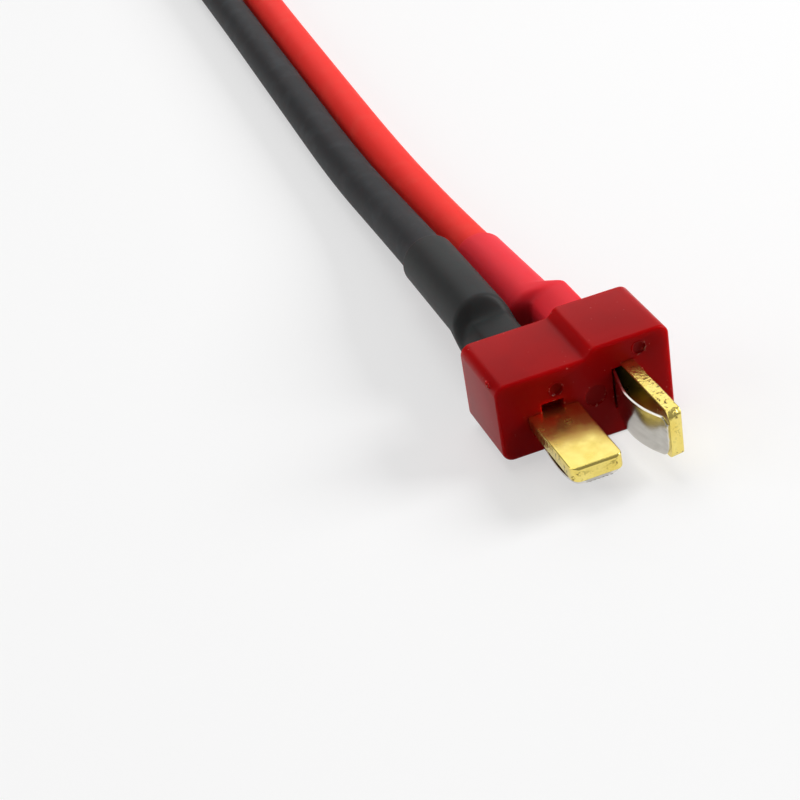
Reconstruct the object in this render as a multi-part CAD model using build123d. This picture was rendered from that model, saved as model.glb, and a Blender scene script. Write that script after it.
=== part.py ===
from build123d import *
import math
import os

# Male half of a two-pole flat-blade battery connector, with its two lead wires.
# All sizes are in millimetres. X runs across the housing, the blades point along -Y,
# the wires leave along +Y and Z is up. The underside of the tall half stands at Z = 0.

# Housing: a low half and a tall half on one centre height, joined by a soft step
HOUSING_WIDTH = 16.0
HOUSING_DEPTH = 8.1
TALL_HEIGHT = 9.2
STEP_RISE = 0.82
STEP_RUN = 0.71
STEP_X = 0.62
STEP_RADIUS = 0.7
SIDE_RADIUS = 1.0
FACE_RADIUS = 0.3
REAR_EDGE_BREAK = 0.25

# Contacts: one stamping used twice, lying flat in the low half and upright in the tall half
BLADE_WIDTH = 4.57
BLADE_THICKNESS = 1.25
BLADE_REACH = 8.96
TIP_SLANT = 0.2
TIP_RADIUS = 0.5
UPPER_EDGE_BREAK = 0.08
LOWER_EDGE_BREAK = 0.15
TAB_REACH = 6.5
TAB_RADIUS = 0.5
NOTCH_RADIUS = 0.6
FLAT_BLADE_X = -3.085
UPRIGHT_BLADE_X = 3.945

# Leaf spring under each blade: tail flat on the blade, bow, crease and narrow foot
SPRING_WIDTH = 3.7
SPRING_THICKNESS = 0.25
SPRING_TAIL_DEPTH = 3.2
SPRING_KNEE_DEPTH = 2.2
SPRING_BOW_REACH = 5.34
SPRING_BOW_CORNER = 1.84
SPRING_BOW_RADIUS = 9.0
SPRING_CREASE_REACH = 8.34
SPRING_CREASE_HEIGHT = 0.31
SPRING_CREASE_RADIUS = 0.25
SPRING_KNEE_RADIUS = 4.0
FOOT_REACH = 8.72
FOOT_WIDTH = 2.4
FOOT_TAPER_LENGTH = 0.62
FOOT_RADIUS = 0.3
TAIL_RADIUS = 0.4

# Pockets that the mould leaves in the front face
SPRING_SLOT_CLEARANCE = 0.15
SPRING_SLOT_HEIGHT = 0.85
SPRING_SLOT_DEPTH = 3.7
CORE_SLOT_WIDTH = 2.05
CORE_SLOT_HEIGHT = 0.82
CORE_SLOT_DEPTH = 1.6
PIN_MARK_DIAMETER = 1.25
PIN_MARK_DEPTH = 0.8
FLAT_PIN_MARK = (-2.65, 6.48)
UPRIGHT_PIN_MARK = (5.1, 7.85)
DIMPLE_DIAMETER = 2.0
DIMPLE_DEPTH = 0.15
DIMPLE_X = 0.84

# Lead wires: stranded copper in silicone insulation
WIRE_DIAMETER = 4.5
STRAND_DIAMETER = 2.3
STRAND_START = 0.9
PRESSED_WIDTH = 3.4
PRESSED_HEIGHT = 1.4
TINNED_LENGTH = 6.0
TINNED_CHAMFER = 0.3

# Solder that wets the tab and covers the strands
SOLDER_HALF_WIDTH = 2.1
SOLDER_COVER = 0.1
SOLDER_FILM = 0.05
SOLDER_START = 0.7
SOLDER_LENGTH = 4.7

# Heat-shrink sleeves: low over the solder, then up round the end of the insulation.
# The black insulation reaches the tab's end, so its sleeve rises there as a steep hood.
SLEEVE_WALL = 0.45
SLEEVE_GAP = 0.1
SLEEVE_CORNER_RADIUS = 0.35
SLEEVE_SHOULDER_RADIUS = 1.2
SHOULDER_FLAT = 0.1
SLEEVE_END_Y = 27.0
HOOD_START = 5.6
HOOD_RADIUS = 2.2
HOOD_SLOPE_LENGTH = 1.5

# Height of both wires' centres where they lie on the ground
GROUND_Z = WIRE_DIAMETER / 2 + 0.02

# Worked out from the sizes above
MID_Z = TALL_HEIGHT / 2
CONTACT_LENGTH = BLADE_REACH + HOUSING_DEPTH + TAB_REACH
FRONT_Y = BLADE_REACH - CONTACT_LENGTH / 2
REAR_Y = FRONT_Y + HOUSING_DEPTH
STRAND_RADIUS = STRAND_DIAMETER / 2
WIRE_RADIUS = WIRE_DIAMETER / 2
SOLDER_HEIGHT = SOLDER_FILM + PRESSED_HEIGHT + SOLDER_COVER

# A contact is drawn flat, its spring below and the housing's front face at Y = 0
FLAT_CONTACT = Location((FLAT_BLADE_X, FRONT_Y, MID_Z - BLADE_THICKNESS / 2))
UPRIGHT_CONTACT = Location((UPRIGHT_BLADE_X, FRONT_Y, MID_Z), (0, 90, 0))

# A joint is drawn on the tab's soldered face, the housing's rear face at Y = 0
FLAT_JOINT = Location((FLAT_BLADE_X, REAR_Y, MID_Z))
UPRIGHT_JOINT = Location((UPRIGHT_BLADE_X - BLADE_THICKNESS / 2, REAR_Y, MID_Z), (0, -90, 0))

# Centrelines of the insulation, chosen by hand from sleeve to far end
NEGATIVE_ROUTE = [
    (-3.54, 12.00, 5.90),
    (-3.18, 26.50, 5.10),
    (-2.38, 41.00, 3.05),
    (-2.30, 56.50, GROUND_Z),
    (-1.50, 80.00, GROUND_Z),
    (-0.17, 120.00, GROUND_Z),
    (0.44, 153.20, GROUND_Z),
]
POSITIVE_ROUTE = [
    (1.87, 13.40, 4.60),
    (2.08, 26.50, 3.40),
    (2.22, 41.00, 2.42),
    (2.26, 56.50, GROUND_Z),
    (3.08, 80.00, GROUND_Z),
    (4.96, 120.00, GROUND_Z),
    (6.38, 153.20, GROUND_Z),
]


def housing_profile():
    """Front outline: two heights about one centre line, with a soft step between them."""
    left = -HOUSING_WIDTH / 2
    right = HOUSING_WIDTH / 2
    step_low = STEP_X - STEP_RUN / 2
    step_high = STEP_X + STEP_RUN / 2
    corners = [
        (left, STEP_RISE),
        (step_low, STEP_RISE),
        (step_high, 0),
        (right, 0),
        (right, TALL_HEIGHT),
        (step_high, TALL_HEIGHT),
        (step_low, TALL_HEIGHT - STEP_RISE),
        (left, TALL_HEIGHT - STEP_RISE),
    ]
    outline = make_face(Polyline(*corners, close=True))
    sides = outline.vertices().filter_by(lambda v: abs(v.X) > HOUSING_WIDTH / 2 - 0.01)
    outline = fillet(sides, SIDE_RADIUS)
    steps = outline.vertices().filter_by(lambda v: step_low - 0.01 < v.X < step_high + 0.01)
    return fillet(steps, STEP_RADIUS)


def spring_slot():
    """Pocket beside a blade, on the spring's side, in which the spring's tail slides."""
    pocket = Box(
        SPRING_WIDTH + 2 * SPRING_SLOT_CLEARANCE,
        SPRING_SLOT_DEPTH,
        SPRING_SLOT_HEIGHT,
        align=(Align.CENTER, Align.MIN, Align.MAX),
    )
    return Pos(0, 0, -BLADE_THICKNESS / 2) * pocket


def core_slot():
    """Short pocket on a blade's other broad face, where the mould gripped the blade."""
    pocket = Box(
        CORE_SLOT_WIDTH,
        CORE_SLOT_DEPTH,
        CORE_SLOT_HEIGHT,
        align=(Align.CENTER, Align.MIN, Align.MIN),
    )
    return Pos(0, 0, BLADE_THICKNESS / 2) * pocket


def front_recess(x, z, diameter, depth):
    """Round blind recess in the front face."""
    disc = Plane.XZ * Circle(diameter / 2)
    return Pos(x, FRONT_Y, z) * extrude(disc, -depth)


def housing(flat_blade, upright_blade):
    """Moulded nylon block, closed round both blades and open at the front pockets."""
    block = extrude(Plane.XZ * housing_profile(), -HOUSING_DEPTH)
    block = Pos(0, FRONT_Y, 0) * block
    block = chamfer(block.faces().sort_by(Axis.Y)[-1].edges(), REAR_EDGE_BREAK)
    block = fillet(block.faces().sort_by(Axis.Y)[0].edges(), FACE_RADIUS)
    for place in (FLAT_CONTACT, UPRIGHT_CONTACT):
        block -= place * spring_slot()
        block -= place * core_slot()
    for x, z in (FLAT_PIN_MARK, UPRIGHT_PIN_MARK):
        block -= front_recess(x, z, PIN_MARK_DIAMETER, PIN_MARK_DEPTH)
    block -= front_recess(DIMPLE_X, MID_Z, DIMPLE_DIAMETER, DIMPLE_DEPTH)
    return block - flat_blade - upright_blade


def blade():
    """Stamped contact: blade with a slanted tip, notched anchor and solder tab."""
    half = BLADE_THICKNESS / 2
    rear = HOUSING_DEPTH + TAB_REACH
    side = [
        (-BLADE_REACH, -half),
        (rear, -half),
        (rear, half),
        (TIP_SLANT - BLADE_REACH, half),
    ]
    profile = Plane.YZ * make_face(Polyline(*side, close=True))
    strip = extrude(profile, BLADE_WIDTH / 2, both=True)
    flanks = strip.edges().filter_by(lambda e: abs(e.center().X) > BLADE_WIDTH / 2 - 0.01)
    tip = flanks.sort_by(Axis.Y)[0]
    tab_end = flanks.sort_by(Axis.Y)[-1]
    strip = fillet([e for e in flanks if abs(e.center().Y - tip.center().Y) < 0.01], TIP_RADIUS)
    flanks = strip.edges().filter_by(lambda e: abs(e.center().X) > BLADE_WIDTH / 2 - 0.01)
    ends = [e for e in flanks if abs(e.center().Y - tab_end.center().Y) < 0.01]
    strip = fillet(ends, TAB_RADIUS)
    strip = chamfer(strip.faces().sort_by(Axis.Z)[-1].edges(), UPPER_EDGE_BREAK)
    strip = chamfer(strip.faces().sort_by(Axis.Z)[0].edges(), LOWER_EDGE_BREAK)
    notch = Cylinder(NOTCH_RADIUS, 2 * BLADE_THICKNESS)
    for side_x in (-BLADE_WIDTH / 2, BLADE_WIDTH / 2):
        strip -= Pos(side_x, HOUSING_DEPTH / 2, 0) * notch
    return strip


def spring(contact):
    """Bowed strip: flat tail in the slot, bow below the blade, crease and tapered foot."""
    face = -BLADE_THICKNESS / 2
    rest = face - SPRING_THICKNESS / 2
    line = FilletPolyline(
        (SPRING_TAIL_DEPTH, rest),
        (SPRING_KNEE_DEPTH, rest),
        (-SPRING_BOW_REACH, face - SPRING_BOW_CORNER),
        (-SPRING_CREASE_REACH, face - SPRING_CREASE_HEIGHT),
        (-FOOT_REACH, face + SPRING_THICKNESS / 2),
        radius=[SPRING_KNEE_RADIUS, SPRING_BOW_RADIUS, SPRING_CREASE_RADIUS],
    )
    band = Plane.YZ * trace(line, SPRING_THICKNESS)
    strip = extrude(band, SPRING_WIDTH / 2, both=True)
    half = SPRING_WIDTH / 2
    foot_start = FOOT_TAPER_LENGTH - FOOT_REACH
    plan = [
        (-half, SPRING_TAIL_DEPTH),
        (-half, foot_start),
        (-FOOT_WIDTH / 2, -BLADE_REACH),
        (FOOT_WIDTH / 2, -BLADE_REACH),
        (half, foot_start),
        (half, SPRING_TAIL_DEPTH),
    ]
    outline = make_face(Polyline(*plan, close=True))
    front = outline.vertices().filter_by(lambda v: v.Y < 0)
    outline = fillet(front, FOOT_RADIUS)
    tail = outline.vertices().filter_by(lambda v: v.Y > 0)
    outline = fillet(tail, TAIL_RADIUS)
    strip = strip & extrude(outline, 3 * BLADE_THICKNESS, both=True)
    return (strip - contact).solids().sort_by(SortBy.VOLUME)[-1]


def solder(strands, joint):
    """Domed solder along the tab, wetting the tab's face and covering the strands."""
    dome = Ellipse(SOLDER_HALF_WIDTH, SOLDER_HEIGHT)
    dome = dome & Rectangle(
        3 * SOLDER_HALF_WIDTH, SOLDER_HEIGHT, align=(Align.CENTER, Align.MIN)
    )
    bead = Pos(0, SOLDER_START, 0) * extrude(Plane.XZ * dome, -SOLDER_LENGTH)
    return joint * bead - strands


def low_length(hooded):
    """Length of the sleeve's low run over the tab, behind the housing."""
    return HOOD_START if hooded else TAB_REACH + SLEEVE_GAP


def strands(joint, route, hooded):
    """Stripped conductor: pressed to an oval on the tab, round again at the insulation."""
    oval = Plane.XZ * Ellipse(PRESSED_WIDTH / 2, PRESSED_HEIGHT / 2)
    pressed_end = low_length(hooded) - SLEEVE_GAP
    middle = SOLDER_FILM + PRESSED_HEIGHT / 2
    near = joint * Pos(0, STRAND_START, middle) * oval
    far = joint * Pos(0, pressed_end, middle) * oval
    across = (joint * Pos(1, 0, 0)).position - joint.position
    mouth = Plane(route @ 0, x_dir=across, z_dir=-(route % 0)) * Circle(STRAND_RADIUS)
    pressed = extrude(near, pressed_end - STRAND_START, dir=(0, 1, 0))
    return pressed + loft([far, mouth])


def route_line(points):
    """Centreline of straight runs joined by the widest tangent arcs that the runs allow."""
    spots = [Vector(*p) for p in points]
    radii = []
    for before, here, after in zip(spots, spots[1:], spots[2:]):
        turn = math.radians((here - before).get_angle(after - here))
        shorter = min((here - before).length, (after - here).length)
        radii.append(0.45 * shorter / math.tan(turn / 2))
    return FilletPolyline(*spots, radius=radii), radii


def wire(route):
    """Round silicone-insulated wire along its route."""
    start = Plane(route @ 0, z_dir=route % 0)
    return sweep(start * Circle(WIRE_RADIUS), path=route)


def tinned_end(route):
    """Stripped and tinned strands at the wire's far end."""
    stub = extrude(Circle(STRAND_RADIUS), TINNED_LENGTH)
    stub = chamfer(stub.edges().sort_by(Axis.Z)[-1], TINNED_CHAMFER)
    return Plane(route @ 1, z_dir=route % 1) * stub


def widest_shoulder(corners):
    """Largest radius that rounds both upper corners of a section and leaves a flat."""
    low_left, low_right, high_right, high_left = [Vector(x, z) for x, z in corners]
    across = high_left - high_right
    right_angle = math.radians(across.get_angle(low_right - high_right))
    left_angle = math.radians((high_right - high_left).get_angle(low_left - high_left))
    setback = 1 / math.tan(right_angle / 2) + 1 / math.tan(left_angle / 2)
    return (across.length - SHOULDER_FLAT) / setback


def wrapped_section(joint, depth, left, right, head, shoulder, wall):
    """Sleeve section that holds the tab and rises to a head with the given sides."""
    half = BLADE_WIDTH / 2 + SLEEVE_GAP
    foot = -BLADE_THICKNESS - SLEEVE_GAP
    corners = [
        (-half - wall, foot - wall),
        (half + wall, foot - wall),
        (right + wall, head + wall),
        (left - wall, head + wall),
    ]
    outline = make_face(Polyline(*corners, close=True))
    radius = min(shoulder + wall, widest_shoulder(corners))
    outline = fillet(outline.vertices().group_by(Axis.Y)[-1], radius)
    if wall > 0:
        outline = fillet(outline.vertices().group_by(Axis.Y)[0], SLEEVE_CORNER_RADIUS + wall)
    return joint * Pos(0, depth, 0) * (Plane.XZ * outline)


def low_section(joint, depth, wall):
    """Sleeve section over the tab and its solder."""
    half = BLADE_WIDTH / 2 + SLEEVE_GAP
    head = SOLDER_HEIGHT + SLEEVE_GAP
    return wrapped_section(joint, depth, -half, half, head, SLEEVE_SHOULDER_RADIUS, wall)


def hood_section(joint, depth, route, wall):
    """Sleeve section over the tab's end and the end of the insulation above it."""
    centre = (joint.inverse() * Pos(route @ 0)).position
    reach = WIRE_RADIUS + SLEEVE_GAP
    left = centre.X - reach
    right = centre.X + reach
    return wrapped_section(joint, depth, left, right, centre.Z + reach, HOOD_RADIUS, wall)


def sleeve_body(joint, route, hooded, front, wall, mouth_radius):
    """Solid over the tab, up to the round mouth from which the sleeve grips the wire."""
    low_end = low_length(hooded)
    body = extrude(low_section(joint, front, wall), low_end - front, dir=(0, 1, 0))
    last = low_section(joint, low_end, wall)
    if hooded:
        hood = hood_section(joint, TAB_REACH + SLEEVE_GAP, route, wall)
        body += loft([last, hood])
        last = hood
    return body + loft([last, grip_plane(route, hooded) * Circle(mouth_radius)])


def grip_plane(route, hooded):
    """Plane across the wire where the sleeve has become round."""
    along = HOOD_SLOPE_LENGTH if hooded else 0
    spot = route.position_at(along, position_mode=PositionMode.LENGTH)
    return Plane(spot, z_dir=route.tangent_at(along, position_mode=PositionMode.LENGTH))


def sleeve(joint, route, hooded, jacket):
    """Heat-shrink tube: over the soldered tab, up its slope and on along the wire."""
    outer_radius = WIRE_RADIUS + SLEEVE_WALL
    start = Plane(route @ 0, z_dir=route % 0)
    grip = sweep(start * Circle(outer_radius), path=route)
    length = SLEEVE_END_Y - (route @ 0).Y
    cut = Plane(
        route.position_at(length, position_mode=PositionMode.LENGTH),
        z_dir=route.tangent_at(length, position_mode=PositionMode.LENGTH),
    )
    grip = split(grip, bisect_by=cut, keep=Keep.BOTTOM)
    if hooded:
        grip = split(grip, bisect_by=grip_plane(route, hooded), keep=Keep.TOP)
    tube = sleeve_body(joint, route, hooded, 0, SLEEVE_WALL, outer_radius) + grip
    bore_radius = WIRE_RADIUS - SLEEVE_GAP
    hollow = sleeve_body(joint, route, hooded, -SLEEVE_WALL, 0, bore_radius)
    return tube - hollow - jacket


def build():
    """All pieces of the connector by name."""
    contact = blade()
    leaf = spring(contact)
    flat_blade = FLAT_CONTACT * contact
    upright_blade = UPRIGHT_CONTACT * contact
    pieces = {
        "housing": housing(flat_blade, upright_blade),
        "negative_blade": flat_blade,
        "positive_blade": upright_blade,
        "negative_spring": FLAT_CONTACT * leaf,
        "positive_spring": UPRIGHT_CONTACT * leaf,
    }
    leads = {
        "negative": (FLAT_JOINT, NEGATIVE_ROUTE, True),
        "positive": (UPRIGHT_JOINT, POSITIVE_ROUTE, False),
    }
    for pole, (joint, points, hooded) in leads.items():
        route, radii = route_line(points)
        jacket = wire(route)
        core = strands(joint, route, hooded)
        bead = solder(core, joint)
        pieces[pole + "_wire"] = jacket
        pieces[pole + "_strands"] = core
        pieces[pole + "_solder"] = bead
        pieces[pole + "_sleeve"] = sleeve(joint, route, hooded, jacket)
        pieces[pole + "_tinned_end"] = tinned_end(route)
        expected = math.pi * WIRE_RADIUS**2 * route.length
        print(pole, "wire length", round(route.length, 2))
        print(pole, "wire radii", [round(r, 1) for r in radii], "least", 5 * WIRE_DIAMETER)
        print(pole, "wire volume", round(jacket.volume, 1), "section x length", round(expected, 1))
    return pieces


os.makedirs("parts", exist_ok=True)
for name, piece in build().items():
    piece.label = name
    export_step(piece, "parts/" + name + ".step")
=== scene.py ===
# Battery connector plug: red nylon housing, sprung gold blades, two silicone lead wires.
# Sizes are in millimetres, in the frame of the part, and MM turns them to metres.
import math

import bmesh
import bpy
from mathutils import Matrix, Vector, noise


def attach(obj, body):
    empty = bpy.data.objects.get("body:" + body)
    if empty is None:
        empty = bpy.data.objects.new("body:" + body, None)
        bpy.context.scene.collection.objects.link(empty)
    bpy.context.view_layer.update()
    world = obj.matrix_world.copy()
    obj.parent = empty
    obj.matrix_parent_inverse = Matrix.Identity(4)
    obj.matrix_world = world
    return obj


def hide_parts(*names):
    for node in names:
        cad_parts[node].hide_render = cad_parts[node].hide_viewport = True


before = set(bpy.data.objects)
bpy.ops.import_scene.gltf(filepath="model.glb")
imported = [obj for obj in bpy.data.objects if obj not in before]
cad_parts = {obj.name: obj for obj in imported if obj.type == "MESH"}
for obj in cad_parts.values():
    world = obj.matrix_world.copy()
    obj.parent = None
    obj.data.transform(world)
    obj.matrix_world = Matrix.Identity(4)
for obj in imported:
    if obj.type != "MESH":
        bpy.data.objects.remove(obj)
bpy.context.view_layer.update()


# Camera
# A product photograph: a long lens from above and in front of the plug, so that both
# blades point at the viewer and the wires run away to the upper left.
MM = 0.001
LENS_LENGTH = 81.02
SENSOR_WIDTH = 36.0
NEAREST_SEEN = 10.0
CAMERA_PLACE = Vector((-45.325, -120.821, 89.196)) * MM
CAMERA_TURN = math.radians(-13.984)
CAMERA_HEIGHT = math.radians(32.958)
CAMERA_ROLL = math.radians(-10.589)

camera_data = bpy.data.cameras.new("camera")
camera_data.lens = LENS_LENGTH
camera_data.sensor_width = SENSOR_WIDTH
camera_data.clip_start = NEAREST_SEEN * MM
camera = bpy.data.objects.new("camera", camera_data)
bpy.context.scene.collection.objects.link(camera)
camera.matrix_world = (
    Matrix.Translation(CAMERA_PLACE)
    @ Matrix.Rotation(CAMERA_TURN, 4, "Z")
    @ Matrix.Rotation(math.pi / 2 - CAMERA_HEIGHT, 4, "X")
    @ Matrix.Rotation(CAMERA_ROLL, 4, "Z")
)
bpy.context.scene.camera = camera
bpy.context.scene.view_settings.view_transform = "Standard"


# Lead wires
# Two 12 AWG wires: fine copper strands in extruded silicone rubber, which is matt, soft
# and a little dusty. They come off the tabs side by side and lie on the table, touching.
WIRE_DIAMETER = 4.5
WIRE_BEVEL_STEPS = 12
WIRE_LINE_STEPS = 12
BLOOM_WIDTH = 2.4
# The real grain is a few hundredths wide; it is drawn this coarse so that it shows
GRAIN_WIDTH = 0.38
GROUND = 2.27
ROUTES = {
    "negative": [
        (-3.54, 12.00, 5.90),
        (-3.18, 26.50, 5.10),
        (-2.38, 41.00, 3.05),
        (-2.30, 56.50, GROUND),
        (-1.50, 80.00, GROUND),
        (-0.17, 120.00, GROUND),
        (0.44, 153.20, GROUND),
    ],
    "positive": [
        (1.87, 13.40, 4.60),
        (2.08, 26.50, 3.40),
        (2.22, 41.00, 2.42),
        (2.26, 56.50, GROUND),
        (3.04, 80.00, GROUND),
        (4.50, 120.00, GROUND),
        (6.38, 153.20, GROUND),
    ],
}


def linear(hex_colour):
    """Linear RGBA from an sRGB hex colour."""
    values = [int(hex_colour[i : i + 2], 16) / 255 for i in (1, 3, 5)]
    return [v / 12.92 if v <= 0.04045 else ((v + 0.055) / 1.055) ** 2.4 for v in values] + [1.0]


def add(tree, kind, inputs=None, **settings):
    """Adds a node, sets it, and fills its inputs with values or links from output sockets."""
    made = tree.nodes.new(kind)
    for name, value in settings.items():
        setattr(made, name, value)
    for key, value in (inputs or {}).items():
        if isinstance(value, bpy.types.NodeSocket):
            tree.links.new(value, made.inputs[key])
        else:
            made.inputs[key].default_value = value
    return made


def features(width):
    """Scale of a pattern whose features are this many millimetres wide."""
    return 1 / (width * MM)


def new_material(name, values):
    """Material with its shader's plain values: its tree, shader and Object coordinates."""
    made = bpy.data.materials.new(name)
    made.use_nodes = True
    tree = made.node_tree
    tree.nodes.clear()
    shader = add(tree, "ShaderNodeBsdfPrincipled", values)
    add(tree, "ShaderNodeOutputMaterial", {"Surface": shader.outputs[0]})
    place = add(tree, "ShaderNodeTexCoord").outputs["Object"]
    return made, tree, shader, place


def silicone_rubber(name, colour, dust_colour):
    """Extruded silicone: matt, with a faint bloom of dust and a fine drawn grain."""
    values = {
        "Roughness": 0.6,
        "IOR": 1.41,
        "Specular IOR Level": 0.25,
        "Subsurface Weight": 0.6,
        "Subsurface Radius": (1.0, 0.3, 0.25),
        "Subsurface Scale": 2.0 * MM,
    }
    made, tree, shader, place = new_material(name, values)
    dust = add(
        tree,
        "ShaderNodeTexNoise",
        {"Vector": place, "Scale": features(BLOOM_WIDTH), "Detail": 6.0},
    )
    amount = add(
        tree,
        "ShaderNodeMapRange",
        {"Value": dust.outputs["Fac"], "From Min": 0.5, "From Max": 0.75},
    )
    mix = add(
        tree,
        "ShaderNodeMix",
        {"Factor": amount.outputs[0], 6: linear(colour), 7: linear(dust_colour)},
        data_type="RGBA",
    )
    tree.links.new(mix.outputs[2], shader.inputs["Base Color"])
    grain = add(
        tree,
        "ShaderNodeTexNoise",
        {"Vector": place, "Scale": features(GRAIN_WIDTH), "Detail": 3.0},
    )
    bump = add(
        tree,
        "ShaderNodeBump",
        {"Height": grain.outputs["Fac"], "Strength": 0.3, "Distance": 0.01 * MM},
    )
    tree.links.new(bump.outputs[0], shader.inputs["Normal"])
    return made


WIRE_RUBBER = {
    "negative": silicone_rubber("black_silicone_rubber", "#29292b", "#343538"),
    "positive": silicone_rubber("red_silicone_rubber", "#ee2b22", "#ee362b"),
}


def route_curve(name, points):
    """NURBS curve through a wire's route."""
    data = bpy.data.curves.new(name, "CURVE")
    data.dimensions = "3D"
    data.resolution_u = WIRE_LINE_STEPS
    spline = data.splines.new("NURBS")
    spline.points.add(len(points) - 1)
    for point, spot in zip(spline.points, points):
        point.co = [*(Vector(spot) * MM), 1.0]
    spline.order_u = 3
    spline.use_endpoint_u = True
    made = bpy.data.objects.new(name, data)
    bpy.context.scene.collection.objects.link(made)
    return made


def centreline(curve):
    """Points along a curve's own line, read before it gets its thickness."""
    bpy.context.view_layer.update()
    evaluated = curve.evaluated_get(bpy.context.evaluated_depsgraph_get())
    line = bpy.data.meshes.new_from_object(evaluated)
    points = [v.co / MM for v in line.vertices]
    bpy.data.meshes.remove(line)
    return points


wire_lines = {}
for pole, points in ROUTES.items():
    wire = route_curve(pole + "_lead_wire", points)
    wire_lines[pole] = centreline(wire)
    wire.data.bevel_depth = WIRE_DIAMETER / 2 * MM
    wire.data.bevel_resolution = WIRE_BEVEL_STEPS
    wire.data.use_fill_caps = True
    wire.data.materials.append(WIRE_RUBBER[pole])
    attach(wire, "root")
    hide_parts(pole + "_wire")


# Table and light
# A white sheet in a light tent: soft panels at the right, the left, above and behind, and
# the dark camera in front, so that the housing's face is in shade and shadows are pale.
# Side of the sheet in metres
TABLE_SIZE = 3.0
# White that the sheet adds by itself near the plug and far away, where the panels fade, and
# the distances from the plug, in metres, between which it grows
NEAR_WHITE = 0.52
FAR_WHITE = 0.9
NEAR_DISTANCE = 0.25
FAR_DISTANCE = 1.1
# White that metal and glossy plastic find mirrored in the sheet and in the room
TABLE_MIRRORED = 0.52
ROOM_MIRRORED = 0.25
ROOM_STRENGTH = 0.07
WHITE = (1.0, 1.0, 1.0, 1.0)

table_data = bpy.data.meshes.new("table_sheet")
half = TABLE_SIZE / 2
table_data.from_pydata(
    [(-half, -half, 0), (half, -half, 0), (half, half, 0), (-half, half, 0)], [], [(0, 1, 2, 3)]
)
table_sheet = bpy.data.objects.new("table_sheet", table_data)
bpy.context.scene.collection.objects.link(table_sheet)


def white_paper(name):
    """Matt white sheet that looks white to the camera and in mirrors, and keeps shadows."""
    values = {
        "Base Color": linear("#b2b2b2"),
        "Roughness": 0.9,
        "Specular IOR Level": 0.1,
        "Emission Color": WHITE,
    }
    made, tree, shader, place = new_material(name, values)
    ray = add(tree, "ShaderNodeLightPath").outputs
    distance = add(tree, "ShaderNodeVectorMath", {0: place}, operation="LENGTH")
    white = add(
        tree,
        "ShaderNodeMapRange",
        {
            "Value": distance.outputs["Value"],
            "From Min": NEAR_DISTANCE,
            "From Max": FAR_DISTANCE,
            "To Min": NEAR_WHITE,
            "To Max": FAR_WHITE,
        },
    )
    seen = add(
        tree,
        "ShaderNodeMath",
        {0: ray["Is Camera Ray"], 1: white.outputs[0]},
        operation="MULTIPLY",
    )
    reflected = add(
        tree,
        "ShaderNodeMath",
        {0: ray["Is Glossy Ray"], 1: ray["Is Transmission Ray"]},
        operation="MAXIMUM",
    )
    mirrored = add(
        tree,
        "ShaderNodeMath",
        {0: reflected.outputs[0], 1: TABLE_MIRRORED},
        operation="MULTIPLY",
    )
    glow = add(
        tree,
        "ShaderNodeMath",
        {0: seen.outputs[0], 1: mirrored.outputs[0]},
        operation="MAXIMUM",
    )
    tree.links.new(glow.outputs[0], shader.inputs["Emission Strength"])
    return made


table_data.materials.append(white_paper("white_paper"))

room = bpy.data.worlds.new("white_room")
bpy.context.scene.world = room
room.use_nodes = True
tree = room.node_tree
room_light = tree.nodes["Background"]
room_light.inputs["Color"].default_value = WHITE
ray = add(tree, "ShaderNodeLightPath").outputs
seen = add(
    tree,
    "ShaderNodeMath",
    {0: ray["Is Camera Ray"], 1: ray["Is Transmission Ray"]},
    operation="MAXIMUM",
)
mirrored = add(
    tree,
    "ShaderNodeMath",
    {0: ray["Is Glossy Ray"], 1: ROOM_MIRRORED},
    operation="MULTIPLY",
)
shown = add(
    tree,
    "ShaderNodeMath",
    {0: seen.outputs[0], 1: mirrored.outputs[0]},
    operation="MAXIMUM",
)
strength = add(
    tree,
    "ShaderNodeMath",
    {0: shown.outputs[0], 1: ROOM_STRENGTH},
    operation="MAXIMUM",
)
tree.links.new(strength.outputs[0], room_light.inputs["Strength"])

# Each panel's name, direction from the plug, distance and side in metres, and brightness
PANELS = [
    ("key_panel", (1.0, -0.22, 0.6), 0.6, 0.3, 12.0),
    ("left_panel", (-1.0, 0.2, 0.45), 0.6, 0.5, 1.6),
    ("back_panel", (0.29, 0.77, 0.57), 0.7, 0.6, 1.05),
    ("top_panel", (-0.1, 0.25, 1.0), 0.6, 0.4, 1.9),
]
for name, direction, distance, side, brightness in PANELS:
    lamp_data = bpy.data.lights.new(name, "AREA")
    lamp_data.size = side
    lamp_data.energy = brightness * math.pi * side**2
    lamp = bpy.data.objects.new(name, lamp_data)
    bpy.context.scene.collection.objects.link(lamp)
    towards = Vector(direction).normalized()
    facing = towards.to_track_quat("Z", "Y").to_matrix().to_4x4()
    lamp.matrix_world = Matrix.Translation(towards * distance) @ facing


# Housing
# One block of red nylon, injection moulded round the two blades. The polished mould leaves
# it smooth, and it is a little translucent, so its edges glow where light passes through.
FRONT_Y = -2.82
EDGE_ROUND = 0.1
PIN_MARKS = ((-2.65, 6.48), (5.1, 7.85))
PIN_MARK_RADIUS = 0.625
PIN_MARK_DEPTH = 0.22
FLASH_RADIUS = 0.05
GATE_PLACE = (-7.965, -1.2, 7.98)
GATE_RADIUS = 0.32
RING_STEPS = 32
TUBE_STEPS = 8
WELD_DISTANCE = 0.002
# Degrees up to which two faces count as one, from which an edge is eased, and from which it
# stays crisp afterwards
FLAT_CORNER = 1
EASED_CORNER = 35
CRISP_CORNER = 32
EASE_STEPS = 3
EDGE_SPECK_RADIUS = 0.35
FLOW_WIDTH = 7.0
PEEL_WIDTH = 1.1
# Rubbed grit along the edges is about 0.1 mm wide, and is drawn coarser so that it shows; the
# pale specks on the edges are also a painted highlight
GRIT_WIDTH = 0.38


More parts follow.
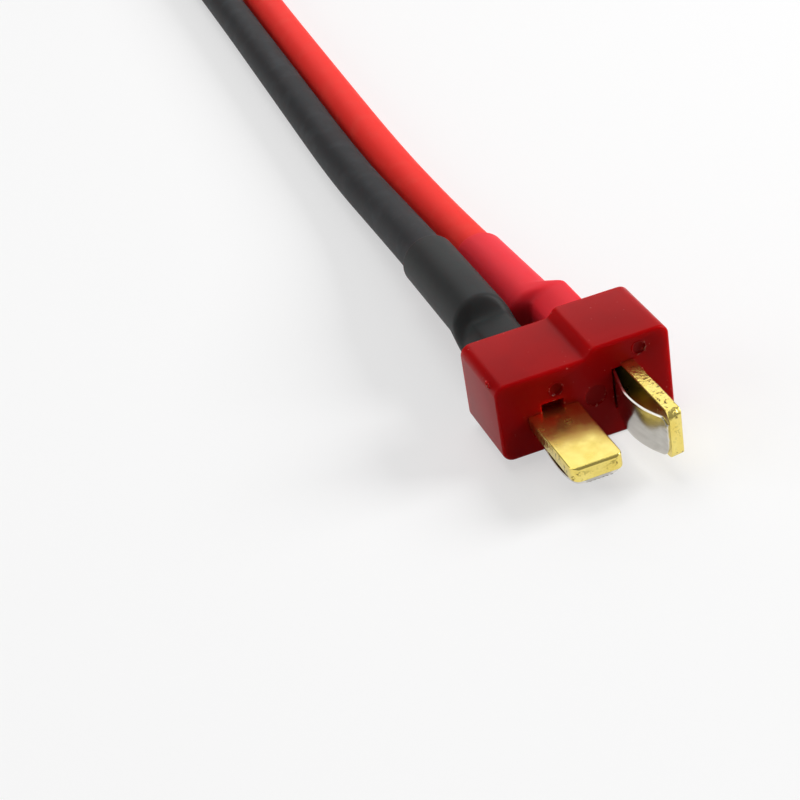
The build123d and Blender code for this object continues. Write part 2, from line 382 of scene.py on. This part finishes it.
def moulded_nylon(name):
    """Polished moulded nylon: translucent, with flow clouds, orange peel and pale specks, which
    along the edges are partly a painted highlight.
    """
    values = {
        "Roughness": 0.3,
        "IOR": 1.53,
        "Specular IOR Level": 0.05,
        "Subsurface Weight": 0.8,
        "Subsurface Radius": (1.0, 0.04, 0.03),
        "Subsurface Scale": 3.2 * MM,
    }
    made, tree, shader, place = new_material(name, values)
    flow = add(
        tree,
        "ShaderNodeTexNoise",
        {"Vector": place, "Scale": features(FLOW_WIDTH), "Detail": 3.0},
    )
    mix = add(
        tree,
        "ShaderNodeMix",
        {"Factor": flow.outputs["Fac"], 6: linear("#b40508"), 7: linear("#820408")},
        data_type="RGBA",
    )
    corner = add(tree, "ShaderNodeBevel", {"Radius": EDGE_SPECK_RADIUS * MM}, samples=6)
    face = add(tree, "ShaderNodeNewGeometry")
    facing = add(
        tree,
        "ShaderNodeVectorMath",
        {0: corner.outputs[0], 1: face.outputs["True Normal"]},
        operation="DOT_PRODUCT",
    )
    # Pale along the edges: rubbed grit, and partly a painted highlight on the edges
    edge = add(
        tree,
        "ShaderNodeMapRange",
        {"Value": facing.outputs["Value"], "From Min": 0.99, "From Max": 0.9, "To Max": 0.14},
    )
    grit = add(
        tree,
        "ShaderNodeTexNoise",
        {"Vector": place, "Scale": features(GRIT_WIDTH), "Detail": 2.0},
    )
    grit_and_edge_highlight = add(
        tree, "ShaderNodeMath", {0: grit.outputs["Fac"], 1: edge.outputs[0]}, operation="ADD"
    )
    pale_speck_and_highlight = add(
        tree,
        "ShaderNodeMapRange",
        {"Value": grit_and_edge_highlight.outputs[0], "From Min": 0.73, "From Max": 0.79, "To Max": 0.6},
    )
    specked_and_highlighted = add(
        tree,
        "ShaderNodeMix",
        {"Factor": pale_speck_and_highlight.outputs[0], 6: mix.outputs[2], 7: linear("#d8867c")},
        data_type="RGBA",
    )
    tree.links.new(specked_and_highlighted.outputs[2], shader.inputs["Base Color"])
    peel = add(
        tree,
        "ShaderNodeTexNoise",
        {"Vector": place, "Scale": features(PEEL_WIDTH), "Detail": 4.0},
    )
    bump = add(
        tree,
        "ShaderNodeBump",
        {"Height": peel.outputs["Fac"], "Strength": 0.2, "Distance": 0.02 * MM},
    )
    tree.links.new(bump.outputs[0], shader.inputs["Normal"])
    return made


def flash_ring(bm, place, axis, radius):
    """Adds the fine raised ring that the mould leaves round a pin mark or a gate."""
    turn = axis.to_track_quat("Z", "Y").to_matrix().to_4x4()
    rings = []
    for i in range(RING_STEPS):
        around = 2 * math.pi * i / RING_STEPS
        ring = []
        for k in range(TUBE_STEPS):
            turned = 2 * math.pi * k / TUBE_STEPS
            out = radius + FLASH_RADIUS * math.cos(turned)
            rise = FLASH_RADIUS * math.sin(turned)
            spot = Vector((out * math.cos(around), out * math.sin(around), rise))
            ring.append(bm.verts.new((Vector(place) + turn @ spot) * MM))
        rings.append(ring)
    for i, near in enumerate(rings):
        far = rings[(i + 1) % RING_STEPS]
        for k in range(TUBE_STEPS):
            after = (k + 1) % TUBE_STEPS
            bm.faces.new((near[k], far[k], far[after], near[after]))


def moulded_block():
    """The frame's housing with its edges eased, its pin marks shallow and its flash on."""
    bm = bmesh.new()
    bm.from_mesh(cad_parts["housing"].data)
    bmesh.ops.remove_doubles(bm, verts=bm.verts, dist=WELD_DISTANCE * MM)
    for vert in bm.verts:
        x, y, z = vert.co / MM
        for mark_x, mark_z in PIN_MARKS:
            in_mark = math.hypot(x - mark_x, z - mark_z) < PIN_MARK_RADIUS + FLASH_RADIUS
            if in_mark and y > FRONT_Y + PIN_MARK_DEPTH:
                vert.co.y = (FRONT_Y + PIN_MARK_DEPTH) * MM
    flat = math.radians(FLAT_CORNER)
    bmesh.ops.dissolve_limit(bm, angle_limit=flat, verts=bm.verts, edges=bm.edges)
    block = bpy.data.objects.new("moulded_housing", bpy.data.meshes.new("moulded_housing"))
    bm.to_mesh(block.data)
    bm.free()
    bpy.context.scene.collection.objects.link(block)
    ease = block.modifiers.new("eased_edges", "BEVEL")
    ease.width = EDGE_ROUND * MM
    ease.segments = EASE_STEPS
    ease.limit_method = "ANGLE"
    ease.angle_limit = math.radians(EASED_CORNER)
    ease.use_clamp_overlap = True
    bpy.context.view_layer.update()
    evaluated = block.evaluated_get(bpy.context.evaluated_depsgraph_get())
    eased = bpy.data.meshes.new_from_object(evaluated)
    block.modifiers.clear()
    bm = bmesh.new()
    bm.from_mesh(eased)
    bmesh.ops.triangulate(bm, faces=bm.faces)
    for x, z in PIN_MARKS:
        flash_ring(bm, (x, FRONT_Y, z), Vector((0, 1, 0)), PIN_MARK_RADIUS)
    flash_ring(bm, GATE_PLACE, Vector((1, 0, 0)), GATE_RADIUS)
    bm.to_mesh(block.data)
    bm.free()
    block.data.shade_smooth()
    block.data.set_sharp_from_angle(angle=math.radians(CRISP_CORNER))
    return block


def dress(node, material):
    """Gives a piece that came with the frame its material."""
    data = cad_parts[node].data
    data.materials.clear()
    data.materials.append(material)


housing = moulded_block()
housing.data.materials.clear()
housing.data.materials.append(moulded_nylon("red_moulded_nylon"))
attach(housing, "root")
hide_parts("housing")


# Blades
# Two identical brass stampings under thin gold plating, one flat and one on edge, held by
# the nylon moulded round them. The punch rounds one edge and tears the other, and plugging
# has rubbed the tip, so the narrow faces are pitted and the broad ones only a little wavy.
BLADE_HALF = 2.285
BLADE_THICKNESS = 1.25
BLADE_REACH = 8.96
BLADE_REAR = 14.6
BLADE_LENGTH = BLADE_REACH + BLADE_REAR
BLADE_EDGE = 0.12
TIP_ROLL = 0.32
TIP_RADIUS = 0.8
TIP_SLANT = 0.2
TIP_SLANT_RUN = 1.5
NOTCH_RADIUS = 0.6
NOTCH_DEPTH = 4.05
WAVE_HEIGHT = 0.006
WAVES_PER_MM = Vector((0.9, 0.8, 0.8))
WAVE_START = Vector((0, 0, 7))
# Where the section is drawn close to an end and on the end face, and how often between
END_STATIONS = (0.0, 0.01, 0.03, 0.06, 0.1, 0.15, 0.21, 0.28, 0.36, 0.45, 0.56, 0.68)
CAP_SHARES = (0.03, 0.5, 0.97)
MIDDLE_START = 0.82
MIDDLE_COUNT = 110
ACROSS_COUNT = 14
EDGE_STEPS = 4
FLANK_DEPTH = 0.02
# How torn the flanks and the ends are, from 0 to 1
FLANK_TEAR = 1.0
END_TEAR = 0.35
RUBBED_WIDTH = 1.1
PIT_WIDTH = 0.31
MID_Z = 4.6
FLAT_X = -3.085
UPRIGHT_X = 3.945
FLAT_PLACE = Matrix.Translation((FLAT_X, FRONT_Y, MID_Z - BLADE_THICKNESS / 2))
ON_EDGE = Matrix.Rotation(math.pi / 2, 4, "Y")
UPRIGHT_PLACE = Matrix.Translation((UPRIGHT_X, FRONT_Y, MID_Z)) @ ON_EDGE


def gold_plate(name):
    """Gold over brass: bright, with rubbed clouds, and pitted where the punch tore it."""
    made, tree, shader, place = new_material(name, {"Metallic": 1.0})
    sheared = add(tree, "ShaderNodeAttribute", attribute_name="sheared").outputs["Fac"]
    wear = add(
        tree,
        "ShaderNodeTexNoise",
        {"Vector": place, "Scale": features(RUBBED_WIDTH), "Detail": 8.0},
    )
    plate = add(
        tree,
        "ShaderNodeMix",
        {"Factor": wear.outputs["Fac"], 6: linear("#f8e890"), 7: linear("#e9cd5c")},
        data_type="RGBA",
    )
    pits = add(
        tree,
        "ShaderNodeTexNoise",
        {"Vector": place, "Scale": features(PIT_WIDTH), "Detail": 5.0},
    )
    depth = add(
        tree,
        "ShaderNodeMapRange",
        {"Value": pits.outputs["Fac"], "From Min": 0.57, "From Max": 0.68},
    )
    pitted = add(
        tree, "ShaderNodeMath", {0: depth.outputs[0], 1: sheared}, operation="MULTIPLY"
    )
    mix = add(
        tree,
        "ShaderNodeMix",
        {"Factor": pitted.outputs[0], 6: plate.outputs[2], 7: linear("#5a4012")},
        data_type="RGBA",
    )
    tree.links.new(mix.outputs[2], shader.inputs["Base Color"])
    rough = add(
        tree,
        "ShaderNodeMapRange",
        {"Value": wear.outputs["Fac"], "To Min": 0.14, "To Max": 0.34},
    )
    tree.links.new(rough.outputs[0], shader.inputs["Roughness"])
    bump = add(
        tree,
        "ShaderNodeBump",
        {"Height": pits.outputs["Fac"], "Strength": sheared, "Distance": 0.05 * MM},
    )
    tree.links.new(bump.outputs[0], shader.inputs["Normal"])
    return made


GOLD = gold_plate("gold_plated_brass")


def rounded(depth, radius):
    """How far a rounded edge has drawn in at a depth from the face that it leads to."""
    if depth >= radius:
        return 0.0
    return radius - math.sqrt(radius**2 - (radius - depth) ** 2)


def strip_section(half, rise, edge, across):
    """Points round a strip's section, from the middle of its upper face, clockwise."""
    quarter = [((half - edge) * i / across, rise) for i in range(across)]
    for i in range(EDGE_STEPS + 1):
        turn = math.pi / 2 * (1 - i / EDGE_STEPS)
        quarter.append((half - edge + edge * math.cos(turn), rise - edge + edge * math.sin(turn)))
    quarter.append((half, 0.0))
    right = quarter + [(x, -z) for x, z in reversed(quarter[:-1])]
    return right + [(-x, z) for x, z in reversed(right[1:-1])]


def ring_tube(name, rings):
    """Closed mesh through rings of points that run clockwise seen from the first one."""
    count = len(rings[0])
    verts = [tuple(point) for points in rings for point in points]
    last = (len(rings) - 1) * count
    faces = [tuple(range(count))[::-1], tuple(range(last, last + count))]
    for k in range(len(rings) - 1):
        for i in range(count):
            j = (i + 1) % count
            faces.append((k * count + i, k * count + j, (k + 1) * count + j, (k + 1) * count + i))
    data = bpy.data.meshes.new(name)
    data.from_pydata(verts, [], faces)
    data.shade_smooth()
    made = bpy.data.objects.new(name, data)
    bpy.context.scene.collection.objects.link(made)
    return made


def blade_stations():
    """Distances from the tip at which the strip's section is drawn."""
    step = (BLADE_LENGTH - 2 * MIDDLE_START) / MIDDLE_COUNT
    middle = [MIDDLE_START + step * i for i in range(MIDDLE_COUNT + 1)]
    return [*END_STATIONS, *middle, *(BLADE_LENGTH - d for d in reversed(END_STATIONS))]


def blade_mesh(name, place):
    """One stamped contact, its tip and tab end rounded, its faces a little wavy."""
    half = BLADE_THICKNESS / 2
    rings = []
    for along in blade_stations():
        end = min(along, BLADE_LENGTH - along)
        side = rounded(end, TIP_RADIUS)
        notch = NOTCH_RADIUS**2 - (along - BLADE_REACH - NOTCH_DEPTH) ** 2
        if notch > 0:
            side = math.sqrt(notch)
        points = []
        for x, z in strip_section(BLADE_HALF - side, half, BLADE_EDGE, ACROSS_COUNT):
            roll = rounded(end, TIP_ROLL) if z > 0 else rounded(end, BLADE_EDGE)
            lean = TIP_SLANT * (z / BLADE_THICKNESS + 0.5) * max(0.0, 1 - along / TIP_SLANT_RUN)
            y = along + lean - BLADE_REACH
            wave = noise.noise(WAVES_PER_MM * Vector((x, y, z)) + WAVE_START)
            rise = z * (half - roll) / half + WAVE_HEIGHT * wave * (1 if z > 0 else -1)
            points.append(place @ Vector((x, y, rise)) * MM)
        rings.append(points)
    caps = []
    for points in (rings[0], rings[-1]):
        middle = sum(points, Vector()) / len(points)
        caps.append([[middle.lerp(p, share) for p in points] for share in CAP_SHARES])
    made = ring_tube(name, caps[0] + rings + caps[1][::-1])
    section = strip_section(BLADE_HALF, half, BLADE_EDGE, ACROSS_COUNT)
    flank = [FLANK_TEAR if abs(x) > BLADE_HALF - FLANK_DEPTH else 0.0 for x, _ in section]
    cap = [END_TEAR] * len(section) * len(CAP_SHARES)
    sheared = made.data.attributes.new("sheared", "FLOAT", "POINT")
    sheared.data.foreach_set("value", cap + flank * len(rings) + cap)
    made.data.materials.append(GOLD)
    return made


for pole, place in (("negative", FLAT_PLACE), ("positive", UPRIGHT_PLACE)):
    contact = blade_mesh(pole + "_contact", place)
    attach(contact, "root")
    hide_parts(pole + "_blade")


# Springs
# A bowed strip of bright stainless steel beside each blade, cut from rolled stock. Its foot
# is bent in to the blade behind the tip and ends in the shear's fine teeth, and its tail
# slides in a pocket of the housing as it is pressed.
SPRING_HALF = 1.85
SPRING_THICKNESS = 0.25
SPRING_EDGE = 0.05
FOOT_HALF = 1.2
FOOT_TAPER = 0.62
FOOT_REACH = 8.84
TOOTH_DEPTH = 0.05
# Radians of the teeth's wave to a millimetre, which makes a tooth every 0.37 mm
TOOTH_TURN = 17.0
SPRING_STEP = 0.12
SPRING_ACROSS_COUNT = 12
BEND_STEPS = 24
# Degrees from which an edge stays crisp
SHEARED_CORNER = 40
# Rolling marks are a few hundredths wide, and are drawn coarser so that they show
STREAK_WIDTH = 0.45
# Corners of the strip's middle line, its distance along and out from the blade's middle
SPRING_LINE = ((3.2, 0.75), (2.2, 0.75), (-5.34, 2.465), (-8.26, 0.97), (-FOOT_REACH, 0.77))
SPRING_BENDS = (4.0, 8.6, 0.7)


def rolled_steel(name):
    """Bright rolled strip: metal with fine streaks along its length."""
    made, tree, shader, place = new_material(name, {"Metallic": 1.0})
    drawn = add(tree, "ShaderNodeMapping", {"Vector": place, "Scale": (1.0, 0.12, 1.0)})
    streak = add(
        tree,
        "ShaderNodeTexNoise",
        {"Vector": drawn.outputs[0], "Scale": features(STREAK_WIDTH), "Detail": 4.0},
    )
    tint = add(
        tree,
        "ShaderNodeMix",
        {"Factor": streak.outputs["Fac"], 6: linear("#e4e1da"), 7: linear("#c4c0b8")},
        data_type="RGBA",
    )
    tree.links.new(tint.outputs[2], shader.inputs["Base Color"])
    rough = add(
        tree,
        "ShaderNodeMapRange",
        {"Value": streak.outputs["Fac"], "To Min": 0.05, "To Max": 0.24},
    )
    tree.links.new(rough.outputs[0], shader.inputs["Roughness"])
    return made


def bent_line(corners, bends):
    """Points along straight runs joined by arcs of the given radii."""
    points = [Vector(corners[0])]
    for before, corner, after, radius in zip(corners, corners[1:], corners[2:], bends):
        corner = Vector(corner)
        back = (Vector(before) - corner).normalized()
        on = (Vector(after) - corner).normalized()
        half_angle = back.angle(on) / 2
        setback = radius / math.tan(half_angle)
        centre = corner + (back + on).normalized() * radius / math.sin(half_angle)
        start = corner + back * setback - centre
        sweep = math.pi - 2 * half_angle
        side = 1 if start.x * on.y - start.y * on.x > 0 else -1
        for i in range(BEND_STEPS + 1):
            turn = side * sweep * i / BEND_STEPS
            x = start.x * math.cos(turn) - start.y * math.sin(turn)
            y = start.x * math.sin(turn) + start.y * math.cos(turn)
            points.append(centre + Vector((x, y)))
    return points + [Vector(corners[-1])]


STEEL = rolled_steel("stainless_strip")


def spring_mesh(name, place):
    """Bowed leaf of even thickness that narrows over its foot and ends in fine teeth."""
    line = bent_line(SPRING_LINE, SPRING_BENDS)
    dense = []
    for start, end in zip(line, line[1:]):
        pieces = max(1, math.ceil((end - start).length / SPRING_STEP))
        dense += [start.lerp(end, i / pieces) for i in range(pieces)]
    dense.append(line[-1])
    last = len(dense) - 1
    rings = []
    for i, point in enumerate(dense):
        ahead = dense[min(i + 1, last)] - dense[max(i - 1, 0)]
        normal = Vector((-ahead.y, ahead.x)).normalized()
        taper = max(0.0, min(1.0, (FOOT_TAPER - FOOT_REACH - point.x) / FOOT_TAPER))
        half = SPRING_HALF + (FOOT_HALF - SPRING_HALF) * taper**2
        teeth = TOOTH_DEPTH if i == last else 0.0
        ring = []
        for x, z in strip_section(half, SPRING_THICKNESS / 2, SPRING_EDGE, SPRING_ACROSS_COUNT):
            spot = point + normal * z
            tooth = teeth * math.sin(x * TOOTH_TURN)
            ring.append(place @ Vector((x, spot.x + tooth, -spot.y)) * MM)
        rings.append(ring)
    made = ring_tube(name, rings[::-1])
    made.data.set_sharp_from_angle(angle=math.radians(SHEARED_CORNER))
    made.data.materials.append(STEEL)
    return made


for pole, place in (("negative", FLAT_PLACE), ("positive", UPRIGHT_PLACE)):
    leaf = spring_mesh(pole + "_leaf_spring", place)
    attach(leaf, "root")
    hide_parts(pole + "_spring")


# Solder joints
# The stripped strands are pressed flat on each tab under tin solder. Both are inside the
# sleeves, and the strands come out again, tinned, at the far end of each wire.
SKIN_WIDTH = 0.83


def tin_solder(name):
    """Tin alloy, frozen with a satin skin."""
    made, tree, shader, place = new_material(
        name, {"Metallic": 1.0, "Base Color": linear("#c4c5c7")}
    )
    skin = add(
        tree,
        "ShaderNodeTexNoise",
        {"Vector": place, "Scale": features(SKIN_WIDTH), "Detail": 5.0},
    )
    rough = add(
        tree,
        "ShaderNodeMapRange",
        {"Value": skin.outputs["Fac"], "To Min": 0.25, "To Max": 0.5},
    )
    tree.links.new(rough.outputs[0], shader.inputs["Roughness"])
    return made


def bare_copper(name):
    """Fine drawn copper strands."""
    values = {"Metallic": 1.0, "Roughness": 0.35, "Base Color": linear("#d08a5c")}
    return new_material(name, values)[0]


SOLDER = tin_solder("tin_solder")
COPPER = bare_copper("copper_strands")
for pole in ROUTES:
    dress(pole + "_solder", SOLDER)
    dress(pole + "_strands", COPPER)


# Tinned ends
# The far end of each wire is stripped, and its strands are twisted and dipped in tin. The
# real strands are 0.08 mm thick and about 680; these are drawn coarser, so that they show.
TINNED_LENGTH = 6.0
BUNDLE_RADIUS = 1.02
STRAND_RADIUS = 0.14
STRAND_COUNT = 61
STRAND_TURNS = 0.35
SHORTEST_STRAND = 0.93
STRAND_SEED = 7
STRAND_STEPS = 14
STRAND_SIDES = 6
# Turn from one strand to the next that fills a disc evenly
GOLDEN_ANGLE = 2.39996


def strand_tree():
    """Node tree that lays straight strands in a disc, twists them and gives them thickness."""
    tree = bpy.data.node_groups.new("twisted_strands", "GeometryNodeTree")
    sockets = {}
    for name, kind in (
        ("Count", "NodeSocketInt"),
        ("Bundle Radius", "NodeSocketFloat"),
        ("Strand Radius", "NodeSocketFloat"),
        ("Length", "NodeSocketFloat"),
        ("Turns", "NodeSocketFloat"),
        ("Shortest", "NodeSocketFloat"),
        ("Seed", "NodeSocketInt"),
        ("Material", "NodeSocketMaterial"),
    ):
        made = tree.interface.new_socket(name, in_out="INPUT", socket_type=kind)
        sockets[name] = made.identifier
    tree.interface.new_socket("Geometry", in_out="OUTPUT", socket_type="NodeSocketGeometry")
    given = add(tree, "NodeGroupInput").outputs
    index = add(tree, "GeometryNodeInputIndex").outputs[0]
    middle = add(tree, "ShaderNodeMath", {0: index, 1: 0.5}, operation="ADD")
    share = add(
        tree, "ShaderNodeMath", {0: middle.outputs[0], 1: given["Count"]}, operation="DIVIDE"
    )
    root = add(tree, "ShaderNodeMath", {0: share.outputs[0]}, operation="SQRT")
    out = add(
        tree,
        "ShaderNodeMath",
        {0: root.outputs[0], 1: given["Bundle Radius"]},
        operation="MULTIPLY",
    )
    angle = add(tree, "ShaderNodeMath", {0: index, 1: GOLDEN_ANGLE}, operation="MULTIPLY")
    spoke = add(tree, "ShaderNodeCombineXYZ", {"X": out.outputs[0]})
    spot = add(
        tree,
        "ShaderNodeVectorRotate",
        {"Vector": spoke.outputs[0], "Angle": angle.outputs[0]},
        rotation_type="Y_AXIS",
    )
    points = add(
        tree, "GeometryNodePoints", {"Count": given["Count"], "Position": spot.outputs[0]}
    )
    end = add(tree, "ShaderNodeCombineXYZ", {"Y": given["Length"]})
    line = add(tree, "GeometryNodeCurvePrimitiveLine", {"End": end.outputs[0]})
    strand = add(
        tree, "GeometryNodeResampleCurve", {"Curve": line.outputs[0], "Count": STRAND_STEPS}
    )
    cut = add(
        tree,
        "FunctionNodeRandomValue",
        {"Min": given["Shortest"], "Max": 1.0, "Seed": given["Seed"]},
    )
    stretch = add(tree, "ShaderNodeCombineXYZ", {"X": 1.0, "Y": cut.outputs["Value"], "Z": 1.0})
    laid = add(
        tree,
        "GeometryNodeInstanceOnPoints",
        {"Points": points.outputs[0], "Instance": strand.outputs[0], "Scale": stretch.outputs[0]},
    )
    loose = add(tree, "GeometryNodeRealizeInstances", {"Geometry": laid.outputs[0]})
    here = add(tree, "GeometryNodeInputPosition").outputs[0]
    along = add(tree, "ShaderNodeSeparateXYZ", {"Vector": here}).outputs["Y"]
    part = add(tree, "ShaderNodeMath", {0: along, 1: given["Length"]}, operation="DIVIDE")
    turns = add(
        tree, "ShaderNodeMath", {0: part.outputs[0], 1: given["Turns"]}, operation="MULTIPLY"
    )
    turn = add(tree, "ShaderNodeMath", {0: turns.outputs[0], 1: math.tau}, operation="MULTIPLY")
    twisted = add(
        tree,
        "ShaderNodeVectorRotate",
        {"Vector": here, "Angle": turn.outputs[0]},
        rotation_type="Y_AXIS",
    )
    rope = add(
        tree,
        "GeometryNodeSetPosition",
        {"Geometry": loose.outputs[0], "Position": twisted.outputs[0]},
    )
    ring = add(
        tree,
        "GeometryNodeCurvePrimitiveCircle",
        {"Resolution": STRAND_SIDES, "Radius": given["Strand Radius"]},
    )
    body = add(
        tree,
        "GeometryNodeCurveToMesh",
        {"Curve": rope.outputs[0], "Profile Curve": ring.outputs[0], "Fill Caps": True},
    )
    smooth = add(tree, "GeometryNodeSetShadeSmooth", {"Geometry": body.outputs[0]})
    whole = add(tree, "GeometryNodeRealizeInstances", {"Geometry": smooth.outputs[0]})
    dressed = add(
        tree,
        "GeometryNodeSetMaterial",
        {"Geometry": whole.outputs[0], "Material": given["Material"]},
    )
    add(tree, "NodeGroupOutput", {"Geometry": dressed.outputs[0]})
    return tree, sockets


def twisted_end(name, pole, tree, sockets):
    """Tinned rope of strands that goes on straight from a wire's far end."""
    made = bpy.data.objects.new(name, bpy.data.meshes.new(name))
    bpy.context.scene.collection.objects.link(made)
    strands = made.modifiers.new("strands", "NODES")
    strands.node_group = tree
    strands[sockets["Count"]] = STRAND_COUNT
    strands[sockets["Bundle Radius"]] = BUNDLE_RADIUS * MM
    strands[sockets["Strand Radius"]] = STRAND_RADIUS * MM
    strands[sockets["Length"]] = TINNED_LENGTH * MM
    strands[sockets["Turns"]] = STRAND_TURNS
    strands[sockets["Shortest"]] = SHORTEST_STRAND
    strands[sockets["Seed"]] = STRAND_SEED
    strands[sockets["Material"]] = SOLDER
    bpy.context.view_layer.update()
    evaluated = made.evaluated_get(bpy.context.evaluated_depsgraph_get())
    data = bpy.data.meshes.new_from_object(evaluated)
    made.modifiers.clear()
    start, end = (Vector(point) for point in ROUTES[pole][-2:])
    turn = (end - start).to_track_quat("Y", "Z").to_matrix().to_4x4()
    data.transform(Matrix.Translation(end * MM) @ turn)
    made.data = data
    return made


strand_nodes, strand_sockets = strand_tree()
for pole in ROUTES:
    rope = twisted_end(pole + "_twisted_end", pole, strand_nodes, strand_sockets)
    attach(rope, "root")
    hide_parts(pole + "_tinned_end")


# Sleeves
# Polyolefin tube shrunk with hot air over tab, solder and insulation. It is drawn low over
# the solder, climbs steeply at the end of the insulation and then grips the round wire.
SLEEVE_WALL = 0.45
SLEEVE_CLEARANCE = 0.02
SLEEVE_END = 27.0
# Cut end of the tube: how far past SLEEVE_END, and how much of the wall is left there
CUT_LIP = ((0.05, 0.42), (0.1, 0.35), (0.13, 0.25), (0.14, 0.12), (0.12, 0.04))
REAR_FACE = 5.28
SLEEVE_SIDES = 96
SLEEVE_STEP = 0.12
CORNER_PASSES = 9
SLOPE_PASSES = 6
SOLDER_HEIGHT = 1.6
SOLDER_HALF = 1.5
CLOUD_WIDTH = 3.8
WRINKLE_WIDTH = 1.4
# Where each sleeve leaves the low run, where it is at its height, and where it is round
CLIMBS = {"negative": (11.0, 11.9, 13.6), "positive": (11.7, 12.2, 13.5)}
# Middle of each tab's soldered face, and the ways across the tab and out of that face
TAB_FACES = {
    "negative": ((FLAT_X, MID_Z), (1, 0), (0, 1)),
    "positive": ((UPRIGHT_X - BLADE_THICKNESS / 2, MID_Z), (0, 1), (-1, 0)),
}


def shrunk_polyolefin(name, colour, light_colour):
    """Shrunk tube: satin, a little cloudy, with faint wrinkles from the hot air."""
    values = {
        "Roughness": 0.55,
        "Specular IOR Level": 0.2,
        "Subsurface Weight": 0.6,
        "Subsurface Radius": (1.0, 0.2, 0.2),
        "Subsurface Scale": 1.6 * MM,
    }
    made, tree, shader, place = new_material(name, values)
    cloud = add(
        tree,
        "ShaderNodeTexNoise",
        {"Vector": place, "Scale": features(CLOUD_WIDTH), "Detail": 5.0},
    )
    mix = add(
        tree,
        "ShaderNodeMix",
        {"Factor": cloud.outputs["Fac"], 6: linear(colour), 7: linear(light_colour)},
        data_type="RGBA",
    )
    tree.links.new(mix.outputs[2], shader.inputs["Base Color"])
    wrinkle = add(
        tree,
        "ShaderNodeTexNoise",
        {"Vector": place, "Scale": features(WRINKLE_WIDTH), "Detail": 3.0},
    )
    bump = add(
        tree,
        "ShaderNodeBump",
        {"Height": wrinkle.outputs["Fac"], "Strength": 0.2, "Distance": 0.05 * MM},
    )
    tree.links.new(bump.outputs[0], shader.inputs["Normal"])
    return made


SLEEVE_PLASTIC = {
    "negative": shrunk_polyolefin("black_polyolefin", "#252525", "#2c2d2d"),
    "positive": shrunk_polyolefin("red_polyolefin", "#f61f2e", "#f82a38"),
}


def tab_outline(pole):
    """Corners, in the cross plane, of the tab with the solder on it."""
    (x, z), across, out = TAB_FACES[pole]
    corners = [
        (-BLADE_HALF, -BLADE_THICKNESS),
        (BLADE_HALF, -BLADE_THICKNESS),
        (BLADE_HALF, 0),
        (SOLDER_HALF, SOLDER_HEIGHT),
        (-SOLDER_HALF, SOLDER_HEIGHT),
        (-BLADE_HALF, 0),
    ]
    return [(x + a * across[0] + b * out[0], z + a * across[1] + b * out[1]) for a, b in corners]


def wire_centre(pole, y):
    """Where the wire's centreline crosses the plane at y; before its start, its first point."""
    line = wire_lines[pole]
    for start, end in zip(line, line[1:]):
        if start.y <= y <= end.y:
            return start.lerp(end, (y - start.y) / (end.y - start.y))
    return line[0]


def reach(pole, y):
    """How far the wrapped pieces reach from the frame's axis in each direction round it."""
    low_end, high_start, round_start = CLIMBS[pole]
    centre = wire_centre(pole, y)
    corners = tab_outline(pole)
    climb = min(1.0, max(0.0, (y - low_end) / (high_start - low_end)))
    release = min(1.0, max(0.0, (y - high_start) / (round_start - high_start)))
    spread = []
    for i in range(SLEEVE_SIDES):
        angle = 2 * math.pi * i / SLEEVE_SIDES
        tab = max(x * math.cos(angle) + z * math.sin(angle) for x, z in corners)
        cord = centre.x * math.cos(angle) + centre.z * math.sin(angle) + WIRE_DIAMETER / 2
        both = max(tab, cord)
        spread.append(tab + (both - tab) * climb + (cord - both) * release)
    return spread


def softened(row, passes):
    """One ring's reach averaged with the directions beside it a number of times."""
    for _ in range(passes):
        row = [(row[i - 1] + 2 * row[i] + row[(i + 1) % len(row)]) / 4 for i in range(len(row))]
    return row


def smoothed(rows, passes):
    """Rings averaged with their neighbours a number of times, the first and last held."""
    for _ in range(passes):
        rows = [
            [(a + 2 * b + c) / 4 for a, b, c in zip(before, here, after)]
            for before, here, after in zip(rows[:1] + rows[:-1], rows, rows[1:] + rows[-1:])
        ]
    return rows


def outline_points(spread, y, wall):
    """Points of the outline whose reach is given, grown by the wall."""
    step = 2 * math.pi / SLEEVE_SIDES
    points = []
    for i, height in enumerate(spread):
        angle = i * step
        slope = (spread[(i + 1) % SLEEVE_SIDES] - spread[i - 1]) / (2 * step)
        x = (height + wall) * math.cos(angle) - slope * math.sin(angle)
        z = (height + wall) * math.sin(angle) + slope * math.cos(angle)
        points.append(Vector((x, y, z)) * MM)
    return points


def sleeve_mesh(name, pole):
    """Closed tube with a wall, shrunk over whatever lies inside it along its length."""
    count = round((SLEEVE_END - REAR_FACE) / SLEEVE_STEP)
    stations = [REAR_FACE + (SLEEVE_END - REAR_FACE) * i / count for i in range(count + 1)]
    spreads = [softened(reach(pole, y), CORNER_PASSES) for y in stations]
    spreads = smoothed(spreads, SLOPE_PASSES)
    rings = [outline_points(row, y, SLEEVE_WALL) for row, y in zip(spreads, stations)]
    last = spreads[-1]
    rings += [outline_points(last, SLEEVE_END + further, wall) for further, wall in CUT_LIP]
    inner = [outline_points(row, y, SLEEVE_CLEARANCE) for row, y in zip(spreads, stations)]
    rings += inner[::-1]
    verts = [tuple(point) for points in rings for point in points]
    faces = []
    for k in range(len(rings)):
        near = k * SLEEVE_SIDES
        far = (k + 1) % len(rings) * SLEEVE_SIDES
        for i in range(SLEEVE_SIDES):
            j = (i + 1) % SLEEVE_SIDES
            faces.append((near + i, near + j, far + j, far + i))
    data = bpy.data.meshes.new(name)
    data.from_pydata(verts, [], faces)
    data.shade_smooth()
    made = bpy.data.objects.new(name, data)
    bpy.context.scene.collection.objects.link(made)
    return made


for pole, colour in (("negative", "black"), ("positive", "red")):
    sleeve = sleeve_mesh(pole + "_shrink_sleeve", pole)
    sleeve.data.materials.append(SLEEVE_PLASTIC[pole])
    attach(sleeve, "root")
    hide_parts(pole + "_sleeve")
